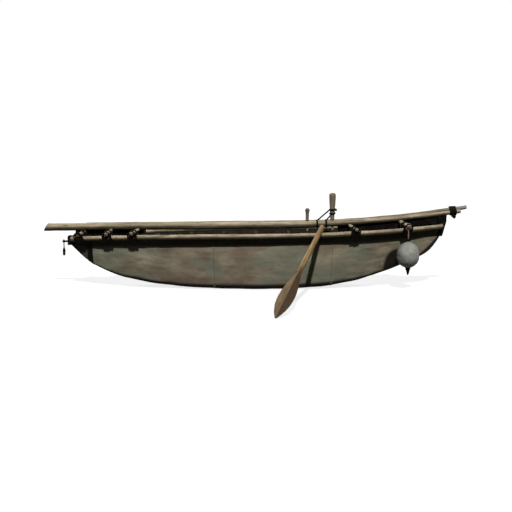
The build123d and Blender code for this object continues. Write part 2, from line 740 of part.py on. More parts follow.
if __name__ == "__main__":
    os.makedirs("parts", exist_ok=True)
    for name, shape in build().items():
        pieces = shape if isinstance(shape, list) else [shape]
        solids = [solid for piece in pieces for solid in piece.solids()]
        export_step(Compound(children=solids) if len(solids) > 1 else solids[0], f"parts/{name}.step")
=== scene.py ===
"""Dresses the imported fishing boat: stretched hides, weathered poles, cord lashings, float and paddle.

Metres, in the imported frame: +X to the bow, +Y to port, +Z up, the floor at zero.
"""

import json
import logging
import math
from collections.abc import Callable
from dataclasses import dataclass
from enum import Enum

import bpy
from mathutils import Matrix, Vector, noise
from mathutils.bvhtree import BVHTree

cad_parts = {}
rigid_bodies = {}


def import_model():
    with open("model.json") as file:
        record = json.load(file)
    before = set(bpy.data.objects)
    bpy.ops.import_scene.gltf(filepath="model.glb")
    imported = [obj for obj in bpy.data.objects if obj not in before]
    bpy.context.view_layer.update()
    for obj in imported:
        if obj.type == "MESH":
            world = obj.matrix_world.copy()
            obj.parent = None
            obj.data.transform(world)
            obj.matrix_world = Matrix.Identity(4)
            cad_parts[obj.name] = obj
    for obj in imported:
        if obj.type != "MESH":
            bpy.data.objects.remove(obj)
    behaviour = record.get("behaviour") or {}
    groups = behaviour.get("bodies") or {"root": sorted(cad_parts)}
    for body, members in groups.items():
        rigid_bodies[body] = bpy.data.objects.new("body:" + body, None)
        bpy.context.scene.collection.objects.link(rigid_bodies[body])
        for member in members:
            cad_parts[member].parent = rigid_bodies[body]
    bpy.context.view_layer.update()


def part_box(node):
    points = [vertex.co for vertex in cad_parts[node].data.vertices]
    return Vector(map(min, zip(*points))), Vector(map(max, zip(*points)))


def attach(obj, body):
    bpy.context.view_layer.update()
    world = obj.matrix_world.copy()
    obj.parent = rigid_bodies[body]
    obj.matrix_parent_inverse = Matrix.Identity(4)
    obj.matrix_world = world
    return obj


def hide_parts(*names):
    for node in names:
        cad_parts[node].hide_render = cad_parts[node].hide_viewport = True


Socket = bpy.types.NodeSocket
Material = bpy.types.Material
Piece = bpy.types.Object
Point = tuple[float, float, float]
Path = list[Vector]

LOG = logging.getLogger("fishing_boat")
CROSS_NAMES = ("stern", "aft", "quarter", "fore", "bow")
RIBS = 9
UP = Vector((0.0, 0.0, 1.0))
MM_PER_M = 1000.0
MERGE_WITHIN = 0.00002
WHITE = "#FFFFFF"
# Loss, step and number of octaves of the noise that moves points.
LUMP_NOISE = (0.8, 2.1, 3)
WRINKLE_NOISE = (0.8, 2.0, 3)


class Body(Enum):
    """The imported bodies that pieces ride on."""

    HULL = "hull"
    FLOAT = "float"
    PADDLE = "paddle"


class Grain(Enum):
    """The way a timber's grain runs."""

    FORE_AND_AFT = (1.0, 0.0, 0.0)
    ATHWART = (0.0, 1.0, 0.0)
    UPRIGHT = (0.0, 0.0, 1.0)
    PADDLE_SHAFT = (0.2924, 0.8777, 0.3798)


@dataclass(frozen=True)
class HemLine:
    """The cover's top edge: nearly level, a little higher at the bow and curled at both ends."""

    half: float = 2.56
    mid: float = 0.722
    trim: float = 0.030
    curl: float = 0.060

    def height(self, x: float) -> float:
        """Gives the edge's height at a place along the boat."""
        share = x / self.half
        return self.mid + self.trim * share + self.curl * share ** 3


HEM = HemLine()


def linear(code: str) -> tuple[float, ...]:
    """Turns an sRGB hex colour into linear red, green and blue with a full alpha."""
    parts = [int(code[i:i + 2], 16) / 255 for i in (1, 3, 5)]
    return (*(p / 12.92 if p <= 0.04045 else ((p + 0.055) / 1.055) ** 2.4 for p in parts), 1.0)


def add_node(tree: bpy.types.NodeTree, kind: str, settings: dict | None = None,
             links: dict[int | str, Socket] | None = None, out: int | str = 0) -> Socket:
    """Adds one shader node with its settings and its incoming links.

    Args:
        tree: the material's or world's node tree.
        kind: the node's Blender type, without its prefix.
        settings: properties by name, input sockets by number, and a ramp's places and colours as stops.
            A colour is a hex code.
        links: the output sockets that go into input sockets, by number or name.
        out: which output is wanted.
    Returns:
        That output of the new node.
    """
    node = tree.nodes.new("ShaderNode" + kind)
    for key, value in (settings or {}).items():
        if key == "stops":
            elements = node.color_ramp.elements
            while len(elements) < len(value):
                elements.new(0.5)
            for element, (place, code) in zip(elements, value):
                element.position = place
                element.color = linear(code)
        elif isinstance(key, int):
            node.inputs[key].default_value = linear(value) if isinstance(value, str) else value
        else:
            setattr(node, key, value)
    for key, source in (links or {}).items():
        tree.links.new(source, node.inputs[key])
    return node.outputs[out]


def spots(size_mm: float, detail: float) -> dict[int, float]:
    """Gives a noise node's scale, detail and roughness for spots of a real size."""
    return {2: MM_PER_M / size_mm, 3: detail, 4: 0.6}


@dataclass
class Shade:
    """A material being built: its tree, its shader and its Object coordinates."""

    name: str

    def __post_init__(self) -> None:
        """Starts the node material."""
        self.material = bpy.data.materials.new(self.name)
        self.material.use_nodes = True
        self.tree = self.material.node_tree
        self.shader = self.tree.nodes["Principled BSDF"]
        self.place = add_node(self.tree, "TexCoord", out="Object")

    def facing_up(self) -> Socket:
        """Tells how far the surface faces up, from -1 to 1."""
        facing = add_node(self.tree, "NewGeometry", out="Normal")
        return add_node(self.tree, "SeparateXYZ", links={0: facing}, out=2)

    def drawn_out(self, way: Point, share: float) -> Socket:
        """Squeezes the coordinates along one way, so that a pattern on them is drawn out along it.

        Args:
            way: a unit vector.
            share: what is left of the coordinate along the way.
        Returns:
            The coordinates.
        """
        dot = {"operation": "DOT_PRODUCT", 1: way}
        along = add_node(self.tree, "VectorMath", dot, {0: self.place}, "Value")
        much = add_node(self.tree, "Math", {"operation": "MULTIPLY", 1: 1.0 - share}, {0: along})
        taken = add_node(self.tree, "VectorMath", {"operation": "SCALE", 0: way}, {"Scale": much})
        return add_node(self.tree, "VectorMath", {"operation": "SUBTRACT"}, {0: self.place, 1: taken})

    def tint(self, colour: Socket, code: str, value: Socket, start: float, full: float,
             most: float) -> Socket:
        """Lays a hex colour over another, from none where a value is at start to the most at full."""
        share = add_node(self.tree, "MapRange", {1: start, 2: full, 4: most}, {0: value})
        return add_node(self.tree, "Mix", {"data_type": "RGBA", 7: code}, {0: share, 6: colour}, 2)

    def done(self, colour: Socket, roughness: Socket | float, specular: float,
             relief: tuple[tuple[Socket, float], ...] = ()) -> Material:
        """Joins the colour and the surface to the shader.

        Args:
            colour: the base colour.
            roughness: a number, or a socket where it varies.
            specular: how strong the highlights are.
            relief: bump patterns and their depths in mm, each on top of the one before.
        Returns:
            The finished material.
        """
        links = {}
        for height, depth_mm in relief:
            links["Height"] = height
            links["Normal"] = add_node(self.tree, "Bump", {0: 1.0, 1: depth_mm / MM_PER_M}, links)
        if links:
            self.tree.links.new(links["Normal"], self.shader.inputs["Normal"])
        self.tree.links.new(colour, self.shader.inputs["Base Color"])
        if isinstance(roughness, float):
            self.shader.inputs["Roughness"].default_value = roughness
        else:
            self.tree.links.new(roughness, self.shader.inputs["Roughness"])
        self.shader.inputs["Specular IOR Level"].default_value = specular
        return self.material


@dataclass(frozen=True)
class TimberFinish:
    """Hand-peeled timber: dry, streaked and checked along its grain, paler where the sun bleaches it."""

    name: str
    pale: str
    mid: str
    dark: str
    grain: Grain
    streak_mm: float = 24.0
    fibre_mm: float = 6.0
    patch_mm: float = 150.0
    roughness: float = 0.82
    specular: float = 0.08
    contrast: float = 0.6
    weather: str = "#8F8B84"
    check: str = "#77726A"
    shade_colour: str = "#231D16"
    underside_shade: float = 0.0
    bleach: str = "#82827C"
    grey_from: float | None = None
    shaded_face: Point | None = None
    shade_ridge: float = 0.0
    side_shares: tuple[float, float] = (0.6, 0.94)
    ridge_blur: float = 0.004
    shade_below: float = 0.0
    shade_fade: tuple[float, float] = (0.25, -0.15)

    def shaded_blade_face(self, shade: Shade, colour: Socket) -> Socket:
        """Darkens one end of the timber, with painted shade heaviest on one side of its ridge.

        Args:
            shade: the material being built.
            colour: the colour so far.
        Returns:
            The new colour.
        """
        tree, ways = shade.tree, []
        for way in (self.shaded_face, self.grain.value):
            settings = {"operation": "DOT_PRODUCT", 1: way}
            ways.append(add_node(tree, "VectorMath", settings, {0: shade.place}, "Value"))
        least, most = self.side_shares
        near, far = self.shade_ridge - self.ridge_blur, self.shade_ridge + self.ridge_blur
        side = add_node(tree, "MapRange", {1: near, 2: far, 3: least, 4: most}, {0: ways[0]})
        dry, shaded_end = (self.shade_below + fade for fade in self.shade_fade)
        low = add_node(tree, "MapRange", {1: dry, 2: shaded_end}, {0: ways[1]})
        share = add_node(tree, "Math", {"operation": "MULTIPLY"}, {0: side, 1: low})
        return add_node(tree, "Mix", {"data_type": "RGBA", 7: self.dark}, {0: share, 6: colour}, 2)

    def build(self) -> Material:
        """Builds the material.

        Returns:
            The finished material.
        """
        shade = Shade(self.name)
        tree, way = shade.tree, self.grain.value
        long = shade.drawn_out(way, 0.05)
        streak = add_node(tree, "TexNoise", spots(self.streak_mm, 6.0), {0: long})
        fibre = add_node(tree, "TexNoise", spots(self.fibre_mm, 2.0), {0: long})
        patch = add_node(tree, "TexNoise", spots(self.patch_mm, 3.0), {0: shade.drawn_out(way, 0.4)})
        tones = [(0.28, self.dark), (0.45, self.mid), (0.64, self.pale)]
        colour = add_node(tree, "ValToRGB", {"stops": tones}, {0: streak})
        for pattern, stops, share in ((patch, [(0.36, self.weather), (0.6, WHITE)], 0.5),
                                      (fibre, [(0.33, self.check), (0.43, WHITE)], self.contrast)):
            over = add_node(tree, "ValToRGB", {"stops": stops}, {0: pattern})
            settings = {"data_type": "RGBA", "blend_type": "MULTIPLY", 0: share}
            colour = add_node(tree, "Mix", settings, {6: colour, 7: over}, 2)
        # Painted shade on one face of the blade end.
        if self.shaded_face is not None:
            colour = self.shaded_blade_face(shade, colour)
        # Painted shade on the faces that look down.
        if self.underside_shade > 0.0:
            colour = shade.tint(colour, self.shade_colour, shade.facing_up(), 0.34, -0.12, self.underside_shade)
        if self.grey_from is not None:
            x = add_node(tree, "SeparateXYZ", links={0: shade.place})
            colour = shade.tint(colour, self.bleach, x, self.grey_from, self.grey_from + 0.10, 0.8)
        return shade.done(colour, self.roughness, self.specular, ((streak, 3.0), (fibre, 1.0)))


@dataclass(frozen=True)
class HideFinish:
    """Oiled and smoked hide: mottled brown, grey and green, streaked along the boat, a little greasy.

    The green patch and the float's painted shadow lie at places on the starboard bow.
    """

    name: str
    light: str = "#A39A85"
    mid: str = "#8C826E"
    brown: str = "#776A59"
    dark: str = "#5B5442"
    cool: str = "#757E6D"
    flush: str = "#806A5C"
    painted_shade: str = "#15120E"
    specular: float = 0.05
    patch: str = "#678864"
    patch_at: Point = (2.09, -0.29, 0.64)
    patch_size: float = 0.28
    float_shadow_at: Point = (1.90, 0.0, 0.25)
    float_shadow_wide: float = 0.19
    float_shadow_tall: float = 0.33

    def below_hem(self, shade: Shade, x: Socket, z: Socket) -> tuple[Socket, Socket]:
        """Tells how far a point lies below the cover's top edge.

        Args:
            shade: the material being built.
            x: the place along the boat.
            z: the height.
        Returns:
            The distance, and its share of the cover's depth there.
        """
        tree = shade.tree
        along = add_node(tree, "Math", {"operation": "DIVIDE", 1: HEM.half}, {0: x})
        cube = add_node(tree, "Math", {"operation": "POWER", 1: 3.0}, {0: along})
        line = add_node(tree, "Math", {"operation": "MULTIPLY_ADD", 1: HEM.trim, 2: HEM.mid}, {0: along})
        hem = add_node(tree, "Math", {"operation": "MULTIPLY_ADD", 1: HEM.curl}, {0: cube, 2: line})
        below = add_node(tree, "Math", {"operation": "SUBTRACT"}, {0: hem, 1: z})
        away = add_node(tree, "Math", {"operation": "ABSOLUTE"}, {0: along})
        rocker = add_node(tree, "Math", {"operation": "POWER", 1: 5.0}, {0: away})
        depth_settings = {"operation": "MULTIPLY_ADD", 1: -HEM.mid, 2: HEM.mid + 0.02}
        depth = add_node(tree, "Math", depth_settings, {0: rocker})
        return below, add_node(tree, "Math", {"operation": "DIVIDE"}, {0: below, 1: depth})

    def wear_and_shadow(self, shade: Shade, y: Socket) -> Socket:
        """Tells where the float's shadow is painted black on the starboard side.

        Args:
            shade: the material being built.
            y: the place across the boat.
        Returns:
            The share of black.
        """
        tree = shade.tree
        off = add_node(tree, "VectorMath", {"operation": "SUBTRACT", 1: self.float_shadow_at}, {0: shade.place})
        shares = (1.0 / self.float_shadow_wide, 0.0, 1.0 / self.float_shadow_tall)
        spot = add_node(tree, "VectorMath", {"operation": "MULTIPLY", 1: shares}, {0: off})
        away = add_node(tree, "VectorMath", {"operation": "LENGTH"}, {0: spot}, "Value")
        inside = add_node(tree, "MapRange", {1: 1.0, 2: 0.8, 4: 0.97}, {0: away})
        starboard = add_node(tree, "MapRange", {1: -0.02, 2: -0.06}, {0: y})
        return add_node(tree, "Math", {"operation": "MULTIPLY"}, {0: inside, 1: starboard})

    def build(self) -> Material:
        """Builds the material.

        Returns:
            The finished material.
        """
        shade = Shade(self.name)
        tree, way = shade.tree, Grain.FORE_AND_AFT.value
        streak = add_node(tree, "TexNoise", spots(60.0, 6.0), {0: shade.drawn_out(way, 0.14)})
        mottle = add_node(tree, "TexNoise", spots(170.0, 4.0), {0: shade.drawn_out(way, 0.5)})
        wide = add_node(tree, "TexNoise", spots(480.0, 2.0), {0: shade.drawn_out(way, 0.6)})
        pores = add_node(tree, "TexNoise", spots(8.0, 3.0), {0: shade.place})
        streaks = [(0.30, self.brown), (0.5, self.mid), (0.68, self.light)]
        blotches = [(0.33, self.dark), (0.46, self.brown), (0.56, self.mid), (0.68, self.light)]
        base = add_node(tree, "ValToRGB", {"stops": streaks}, {0: streak})
        tone = add_node(tree, "ValToRGB", {"stops": blotches}, {0: mottle})
        colour = add_node(tree, "Mix", {"data_type": "RGBA", 0: 0.6}, {6: base, 7: tone}, 2)
        colour = shade.tint(colour, self.cool, wide, 0.50, 0.62, 0.55)
        colour = shade.tint(colour, self.flush, wide, 0.46, 0.36, 0.45)
        settings = {"operation": "DISTANCE", 1: self.patch_at}
        away = add_node(tree, "VectorMath", settings, {0: shade.place}, "Value")
        near = add_node(tree, "MapRange", {1: self.patch_size, 2: 0.06, 4: 1.6}, {0: away})
        blot = add_node(tree, "Math", {"operation": "MULTIPLY"}, {0: near, 1: mottle})
        colour = add_node(tree, "Mix", {"data_type": "RGBA", 7: self.patch}, {0: blot, 6: colour}, 2)
        x, y, z = add_node(tree, "SeparateXYZ", links={0: shade.place}).node.outputs
        below, deep = self.below_hem(shade, x, z)
        # Painted shade: darker low down, black along the bottom's edge and on faces that look down, and a
        # painted shadow under the rail.
        painted_shades = [(deep, 0.40, 0.85, 0.26), (deep, 0.85, 0.92, 0.95)]
        painted_shades += [(shade.facing_up(), -0.32, -0.55, 0.94), (below, 0.125, 0.085, 0.88)]
        for value, start, full, most in painted_shades:
            colour = shade.tint(colour, self.painted_shade, value, start, full, most)
        # The float's painted shadow, black on the starboard bow.
        links = {0: self.wear_and_shadow(shade, y), 6: colour}
        colour = add_node(tree, "Mix", {"data_type": "RGBA", 7: self.painted_shade}, links, 2)
        grease = add_node(tree, "MapRange", {1: 0.3, 2: 0.7, 3: 0.6, 4: 0.9}, {0: mottle})
        return shade.done(colour, grease, self.specular, ((mottle, 5.0), (streak, 2.0), (pores, 0.7)))


@dataclass(frozen=True)
class CordFinish:
    """Cord, soot or tar: dull, in one tone, browner or paler where it is worn."""

    name: str
    colour: str
    wear_and_shadow: str
    strand_mm: float = 8.0
    roughness: float = 0.75
    specular: float = 0.03

    def build(self) -> Material:
        """Builds the material.

        Returns:
            The finished material.
        """
        shade = Shade(self.name)
        worn = add_node(shade.tree, "TexNoise", spots(55.0, 4.0), {0: shade.place})
        strand = add_node(shade.tree, "TexNoise", spots(self.strand_mm, 2.0), {0: shade.place})
        stops = [(0.48, self.colour), (0.72, self.wear_and_shadow)]
        colour = add_node(shade.tree, "ValToRGB", {"stops": stops}, {0: worn})
        return shade.done(colour, self.roughness, self.specular, ((strand, 1.6),))


@dataclass(frozen=True)
class FloatFinish:
    """Scraped hide blown up tight: pale and a little greasy, with painted shade low down."""

    name: str
    pale: str = "#7E7F77"
    mid: str = "#73756D"
    low: str = "#33322F"
    low_from: float = 0.44
    low_to: float = 0.30
    roughness: float = 0.6
    specular: float = 0.2

    def build(self) -> Material:
        """Builds the material.

        Returns:
            The finished material.
        """
        shade = Shade(self.name)
        mottle = add_node(shade.tree, "TexNoise", spots(60.0, 5.0), {0: shade.place})
        pores = add_node(shade.tree, "TexNoise", spots(7.0, 2.0), {0: shade.place})
        stops = [(0.36, self.mid), (0.6, self.pale)]
        colour = add_node(shade.tree, "ValToRGB", {"stops": stops}, {0: mottle})
        # Painted shade, darker towards the bottom.
        z = add_node(shade.tree, "SeparateXYZ", links={0: shade.place}, out=2)
        colour = shade.tint(colour, self.low, z, self.low_from, self.low_to, 0.85)
        return shade.done(colour, self.roughness, self.specular, ((mottle, 2.5), (pores, 0.5)))


def activate(piece: Piece) -> None:
    """Makes one object the only selected and active one.

    Args:
        piece: the object.
    """
    bpy.ops.object.select_all(action="DESELECT")
    piece.select_set(True)
    bpy.context.view_layer.objects.active = piece


def copy_of(node: str, name: str) -> Piece:
    """Copies a CAD node's mesh into a new object, its triangles joined.

    Args:
        node: the node.
        name: the new object's name.
    Returns:
        The new object.
    """
    piece = bpy.data.objects.new(name, bpy.data.objects[node].data.copy())
    piece.data.materials.clear()
    bpy.context.scene.collection.objects.link(piece)
    activate(piece)
    bpy.ops.object.mode_set(mode="EDIT")
    bpy.ops.mesh.select_all(action="SELECT")
    bpy.ops.mesh.remove_doubles(threshold=MERGE_WITHIN)
    bpy.ops.object.mode_set(mode="OBJECT")
    return piece


def apply_modifier(piece: Piece, kind: str, **settings: float | int | str) -> None:
    """Adds a modifier and applies it at once.

    Args:
        piece: the object.
        kind: the modifier's type.
        settings: its properties.
    """
    activate(piece)
    modifier = piece.modifiers.new(kind.lower(), kind)
    for key, value in settings.items():
        setattr(modifier, key, value)
    bpy.ops.object.modifier_apply(modifier=modifier.name)


def dress(piece: Piece, material: Material | None, *replaced: str, slot: str = "lashing_cord",
          body: Body = Body.HULL) -> None:
    """Gives a new piece its finish, the nodes it stands for and its body.

    Args:
        piece: the new piece.
        material: its finish, or None where the piece has its own already.
        replaced: the CAD nodes that it stands for.
        slot: the record's material slot; not used.
        body: the CAD body that it rides on.
    """
    if material is not None:
        piece.data.materials.clear()
        piece.data.materials.append(material)
    if piece.type == "MESH":
        piece.data.polygons.foreach_set("use_smooth", [True] * len(piece.data.polygons))
    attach(piece, body.value)
    if replaced:
        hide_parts(*replaced)
    LOG.info("dressed %s", piece.name)


def paint(material: Material, *nodes: str) -> None:
    """Gives carried-over CAD nodes a finish.

    Args:
        material: the finish.
        nodes: the nodes.
    """
    for node in nodes:
        slots = bpy.data.objects[node].data.materials
        slots.clear()
        slots.append(material)
        LOG.info("painted %s", node)


@dataclass(frozen=True)
class Handwork:
    """How a maker's hand leaves a form: a little lumpy, with its edges worn."""

    voxel: float
    depth: float
    lump: float
    stretch: Point = (1.0, 1.0, 1.0)
    worn: float = 0.5
    passes: int = 0

    def make(self, node: str, name: str, seed: float, cut: Callable[[Piece], None] | None = None) -> Piece:
        """Makes an uneven copy of a CAD node, its points moved along their normals by even noise.

        Args:
            node: the node.
            name: the new piece's name.
            seed: where in the noise the piece lies.
            cut: what is done to the copy before it is made uneven.
        Returns:
            The copy.
        """
        piece = copy_of(node, name)
        apply_modifier(piece, "REMESH", mode="VOXEL", voxel_size=self.voxel)
        if cut is not None:
            cut(piece)
        away = Vector((seed, seed * 1.7, seed * 0.6))
        normals = [vertex.normal.copy() for vertex in piece.data.vertices]
        for vertex, normal in zip(piece.data.vertices, normals):
            spot = Vector([vertex.co[i] * self.stretch[i] / self.lump for i in range(3)]) + away
            vertex.co += normal * self.depth * noise.fractal(spot, *LUMP_NOISE)
        piece.data.update()
        if self.passes:
            apply_modifier(piece, "SMOOTH", factor=self.worn, iterations=self.passes)
        return piece


def cord_curve(name: str, paths: list[Path], radius: float, closed: bool = False, smooth: bool = False,
               fine: tuple[int, int] = (2, 5)) -> Piece:
    """Lays round cords along paths, as one curve.

    Args:
        name: the piece's name.
        paths: the points that each cord runs by.
        radius: the cords' radius.
        closed: whether each cord joins its own end.
        smooth: whether the cords round the points rather than pass through them.
        fine: how finely the cords are divided around and along.
    Returns:
        The cords.
    """
    curve = bpy.data.curves.new(name, "CURVE")
    curve.dimensions = "3D"
    curve.bevel_depth = radius
    curve.bevel_resolution, curve.resolution_u = fine
    curve.use_fill_caps = not closed
    for path in paths:
        spline = curve.splines.new("NURBS" if smooth else "POLY")
        spline.points.add(len(path) - 1)
        for point, place in zip(spline.points, path):
            point.co = (*place, 1.0)
        spline.use_cyclic_u = closed
        if smooth:
            spline.order_u = 3
            spline.use_endpoint_u = not closed
    piece = bpy.data.objects.new(name, curve)
    bpy.context.scene.collection.objects.link(piece)
    return piece


def cords(name: str, paths: list[Path], radius: float, closed: bool = False, smooth: bool = False) -> Piece:
    """Makes round cords along paths, as one mesh.

    Args:
        name: the piece's name.
        paths: the points that each cord runs by.
        radius: the cords' radius.
        closed: whether each cord joins its own end.
        smooth: whether the cords round the points.
    Returns:
        The cords.
    """
    activate(cord_curve(name, paths, radius, closed, smooth))
    bpy.ops.object.convert(target="MESH")
    return bpy.context.object


def coil(middle: Vector, axis: Vector, radius: float, thick: float, turns: int, steps: int = 20) -> Path:
    """Points of a cord wound closely about an axis.

    Args:
        middle: the coil's middle.
        axis: a unit vector along what it is wound on.
        radius: the radius of what it is wound on.
        thick: the cord's radius.
        turns: how many turns.
        steps: points to a turn.
    Returns:
        The points.
    """
    first = axis.orthogonal().normalized()
    second = axis.cross(first).normalized()
    points = []
    for index in range(turns * steps + 1):
        turn = 2 * math.pi * index / steps
        along = (index / (turns * steps) - 0.5) * 2 * thick * turns
        spoke = first * math.cos(turn) + second * math.sin(turn)
        points.append(middle + axis * along + spoke * (radius + thick))
    return points


def join(name: str, pieces: list[Piece]) -> Piece:
    """Joins pieces into one object.

    Args:
        name: the new name.
        pieces: what is joined.
    Returns:
        The joined object.
    """
    activate(pieces[0])
    for piece in pieces:
        piece.select_set(True)
    bpy.ops.object.join()
    pieces[0].name = name
    pieces[0].data.name = name
    return pieces[0]


def surface_of(*nodes: str) -> BVHTree:
    """Makes a tree of CAD nodes' triangles, to cast rays on.

    Args:
        nodes: the nodes.
    Returns:
        The tree.
    """
    corners, faces = [], []
    for node in nodes:
        mesh = bpy.data.objects[node].data
        base = len(corners)
        corners += [v.co.copy() for v in mesh.vertices]
        faces += [[base + i for i in p.vertices] for p in mesh.polygons]
    return BVHTree.FromPolygons(corners, faces)


def corners_of(node: str) -> tuple[Vector, Vector, Vector]:
    """Gives a CAD node's lowest corner, its middle and its highest corner."""
    low, high = (Vector(corner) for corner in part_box(node))
    return low, (low + high) / 2, high


def share_of(value: float, start: float, end: float, most: float = 1.0) -> float:
    """Gives how far a value has come from one level to another, from 0 to the most."""
    return min(max((value - start) / (end - start), 0.0), most)


def spring(x: float) -> float:
    """Gives how far the second pole springs up off the cross poles, more and more towards the bow."""
    return 0.036 * share_of(x, 1.0, 2.7, 1.2) ** 1.6


@dataclass
class HideCover:
    """The four sewn hides, stretched over the ribs, with lapped and stitched seams and a corded hem.

    Its finishes are the long hides', the dark stern hide's, the inner face's, which is dark with painted
    shade, the strap's and hem cord's, and the stitches'.
    """

    side: Material
    stern: Material
    inside: Material
    cord: Material
    sinew: Material
    thickness: float = 0.008
    rib_pitch: float = 0.46
    sag: float = 0.007
    sag_depth: float = 0.25
    wrinkle: float = 0.0020
    wrinkle_rate: Point = (3.0, 9.0, 14.0)
    lap: float = 0.026
    tuck: float = 0.008
    lap_rise: float = 0.0015
    step: float = 0.016
    rows: int = 72
    rays: int = 240
    ray_from: float = 2.0
    eye_drop: float = 0.006
    end_gap: float = 0.004
    seams: tuple[float, ...] = (-2.235, -0.56, 1.01)
    names: tuple[str, ...] = ("hide_stern", "hide_aft", "hide_middle", "hide_bow")
    stitch_pitch: float = 0.032
    stitch_r: float = 0.0016
    stitch_ends: tuple[float, float] = (-0.012, 0.014)
    stitch_heights: Point = (-0.002, 0.003, 0.001)
    stitch_floor: float = 0.03
    strap_width: float = 0.075
    strap_thickness: float = 0.005
    strap_lift: float = 0.0055
    strap_step: float = 0.012
    hem_cord_r: float = 0.012
    hem_lift: float = 0.002
    hem_reach: float = 2.50
    hem_points: int = 101

    def __post_init__(self) -> None:
        """Keeps the CAD cover's form, to lay the hides on."""
        self.form = surface_of(*self.names)

    def girth(self, x: float, count: int) -> list[tuple[Vector, Vector]]:
        """Finds the cover's outside from hem to hem.

        Args:
            x: the place along the boat.
            count: how many spaces lie between the points.
        Returns:
            Evenly spaced points with their outward normals.
        """
        eye = Vector((x, 0.0, HEM.height(x) - self.eye_drop))
        hits = []
        for index in range(self.rays + 1):
            turn = math.pi * index / self.rays
            way = Vector((0.0, math.cos(turn), -math.sin(turn)))
            spot, normal, _, _ = self.form.ray_cast(eye + way * self.ray_from, -way)
            if spot is not None:
                hits.append((spot, normal))
        lengths = [0.0]
        for (first, _), (second, _) in zip(hits, hits[1:]):
            lengths.append(lengths[-1] + (second - first).length)
        even = []
        at = 0
        for row in range(count + 1):
            want = lengths[-1] * row / count
            while at < len(hits) - 2 and lengths[at + 1] < want:
                at += 1
            share = (want - lengths[at]) / max(lengths[at + 1] - lengths[at], 1e-9)
            spot = hits[at][0].lerp(hits[at + 1][0], share)
            even.append((spot, hits[at][1].lerp(hits[at + 1][1], share).normalized()))
        return even

    def stretch(self, spot: Vector, lap_end: float) -> float:
        """Tells how far the hide stands off the smooth form at a point.

        Args:
            spot: the point.
            lap_end: where along the boat this hide's lap over the one before ends.
        Returns:
            The distance outwards.
        """
        between = 0.5 - 0.5 * math.cos(2 * math.pi * spot.x / self.rib_pitch)
        depth = share_of(HEM.height(spot.x) - spot.z, 0.0, self.sag_depth)
        dent = -self.sag * between * depth * (0.6 + 0.4 * noise.noise(spot * 3.1))
        place = Vector([spot[i] * self.wrinkle_rate[i] for i in range(3)])
        wrinkle = self.wrinkle * noise.fractal(place, *WRINKLE_NOISE)
        return dent + wrinkle + (self.lap_rise if spot.x < lap_end else 0.0)

    def sheet(self, name: str, ends: tuple[float, float], step: float, lift: float = 0.0,
              lap_end: float = -HEM.half) -> Piece:
        """Lays a grid on the CAD cover.

        Args:
            name: the new piece's name.
            ends: where it starts and ends along the boat.
            step: the distance between its columns.
            lift: how far it is set out from the hides.
            lap_end: where its lap over the hide before it ends.
        Returns:
            The sheet, one face thick, facing out.
        """
        first, last = ends
        columns = max(int((last - first) / step), 4)
        bpy.ops.object.select_all(action="DESELECT")
        bpy.ops.mesh.primitive_grid_add(x_subdivisions=columns, y_subdivisions=self.rows, size=1.0)
        piece = bpy.context.object
        piece.name = name
        order = sorted(piece.data.vertices, key=lambda v: (round(v.co.x, 5), round(v.co.y, 5)))
        limit = HEM.half - self.end_gap
        inset = self.thickness / 2
        for column in range(columns + 1):
            x = min(max(first + (last - first) * column / columns, -limit), limit)
            for row, (spot, normal) in enumerate(self.girth(x, self.rows)):
                place = spot + normal * (self.stretch(spot, lap_end) + lift - inset)
                place.z = max(place.z, inset)
                order[column * (self.rows + 1) + row].co = place
        piece.data.update()
        if piece.data.polygons[len(piece.data.polygons) // 2].normal.z > 0:
            piece.data.flip_normals()
        return piece

    def stitches(self, seam: float) -> list[Path]:
        """Makes short stitches over the edge of a lapped seam.

        Args:
            seam: where the seam is.
        Returns:
            The stitches' paths.
        """
        inner, outer = (seam + end for end in self.stitch_ends)
        line = [spot for spot, _ in self.girth(inner, self.rows)]
        count = int(sum((b - a).length for a, b in zip(line, line[1:])) / self.stitch_pitch)
        start, top, end = self.stitch_heights
        paths = []
        for low, high in zip(self.girth(inner, count), self.girth(outer, count)):
            middle = (low[0] + high[0]) / 2 + low[1] * top
            if middle.z > self.stitch_floor:
                paths.append([low[0] + low[1] * start, middle, high[0] + high[1] * end])
        return paths

    def hem_cord(self) -> Piece:
        """Makes the cord along both top edges.

        Returns:
            The cord.
        """
        half = (self.hem_points - 1) / 2
        places = [self.hem_reach * (index / half - 1) for index in range(self.hem_points)]
        girths = [self.girth(x, self.rows) for x in places]
        paths = []
        for end in (0, -1):
            edge = [girth[end] for girth in girths]
            lift = UP * self.hem_lift
            paths.append([spot + normal * self.hem_cord_r * 0.6 + lift for spot, normal in edge])
        return cords("hem_cord", paths, self.hem_cord_r)

    def build(self) -> None:
        """Builds and dresses the hides, their stitches, the stern strap and the hem cord."""
        edges = (-HEM.half, *self.seams, HEM.half)
        for name, first, last in zip(self.names, edges, edges[1:]):
            lap_end = first + self.lap if first in self.seams else -HEM.half
            piece = self.sheet(f"{name}_stretched", (first, last + self.tuck), self.step, lap_end=lap_end)
            piece.data.materials.append(self.stern if name == "hide_stern" else self.side)
            # The inner face's dark finish is painted shade.
            piece.data.materials.append(self.inside)
            apply_modifier(piece, "SOLIDIFY", thickness=self.thickness, offset=0.0, material_offset=1)
            dress(piece, None, name, slot="hide_cover")
            # The cut edges stay flat, so that they don't darken the face beside them.
            for polygon in piece.data.polygons:
                polygon.use_smooth = abs(polygon.normal.x) < 0.9
        strap_at = self.seams[0] - self.strap_width * 0.85
        ends = (strap_at, strap_at + self.strap_width)
        strap = self.sheet("stern_strap", ends, self.strap_step, self.strap_lift)
        apply_modifier(strap, "SOLIDIFY", thickness=self.strap_thickness, offset=0.0)
        dress(strap, self.cord)
        sewn = [path for seam in self.seams[1:] for path in self.stitches(seam)]
        dress(cords("seam_stitches", sewn, self.stitch_r), self.sinew)
        dress(self.hem_cord(), self.cord)


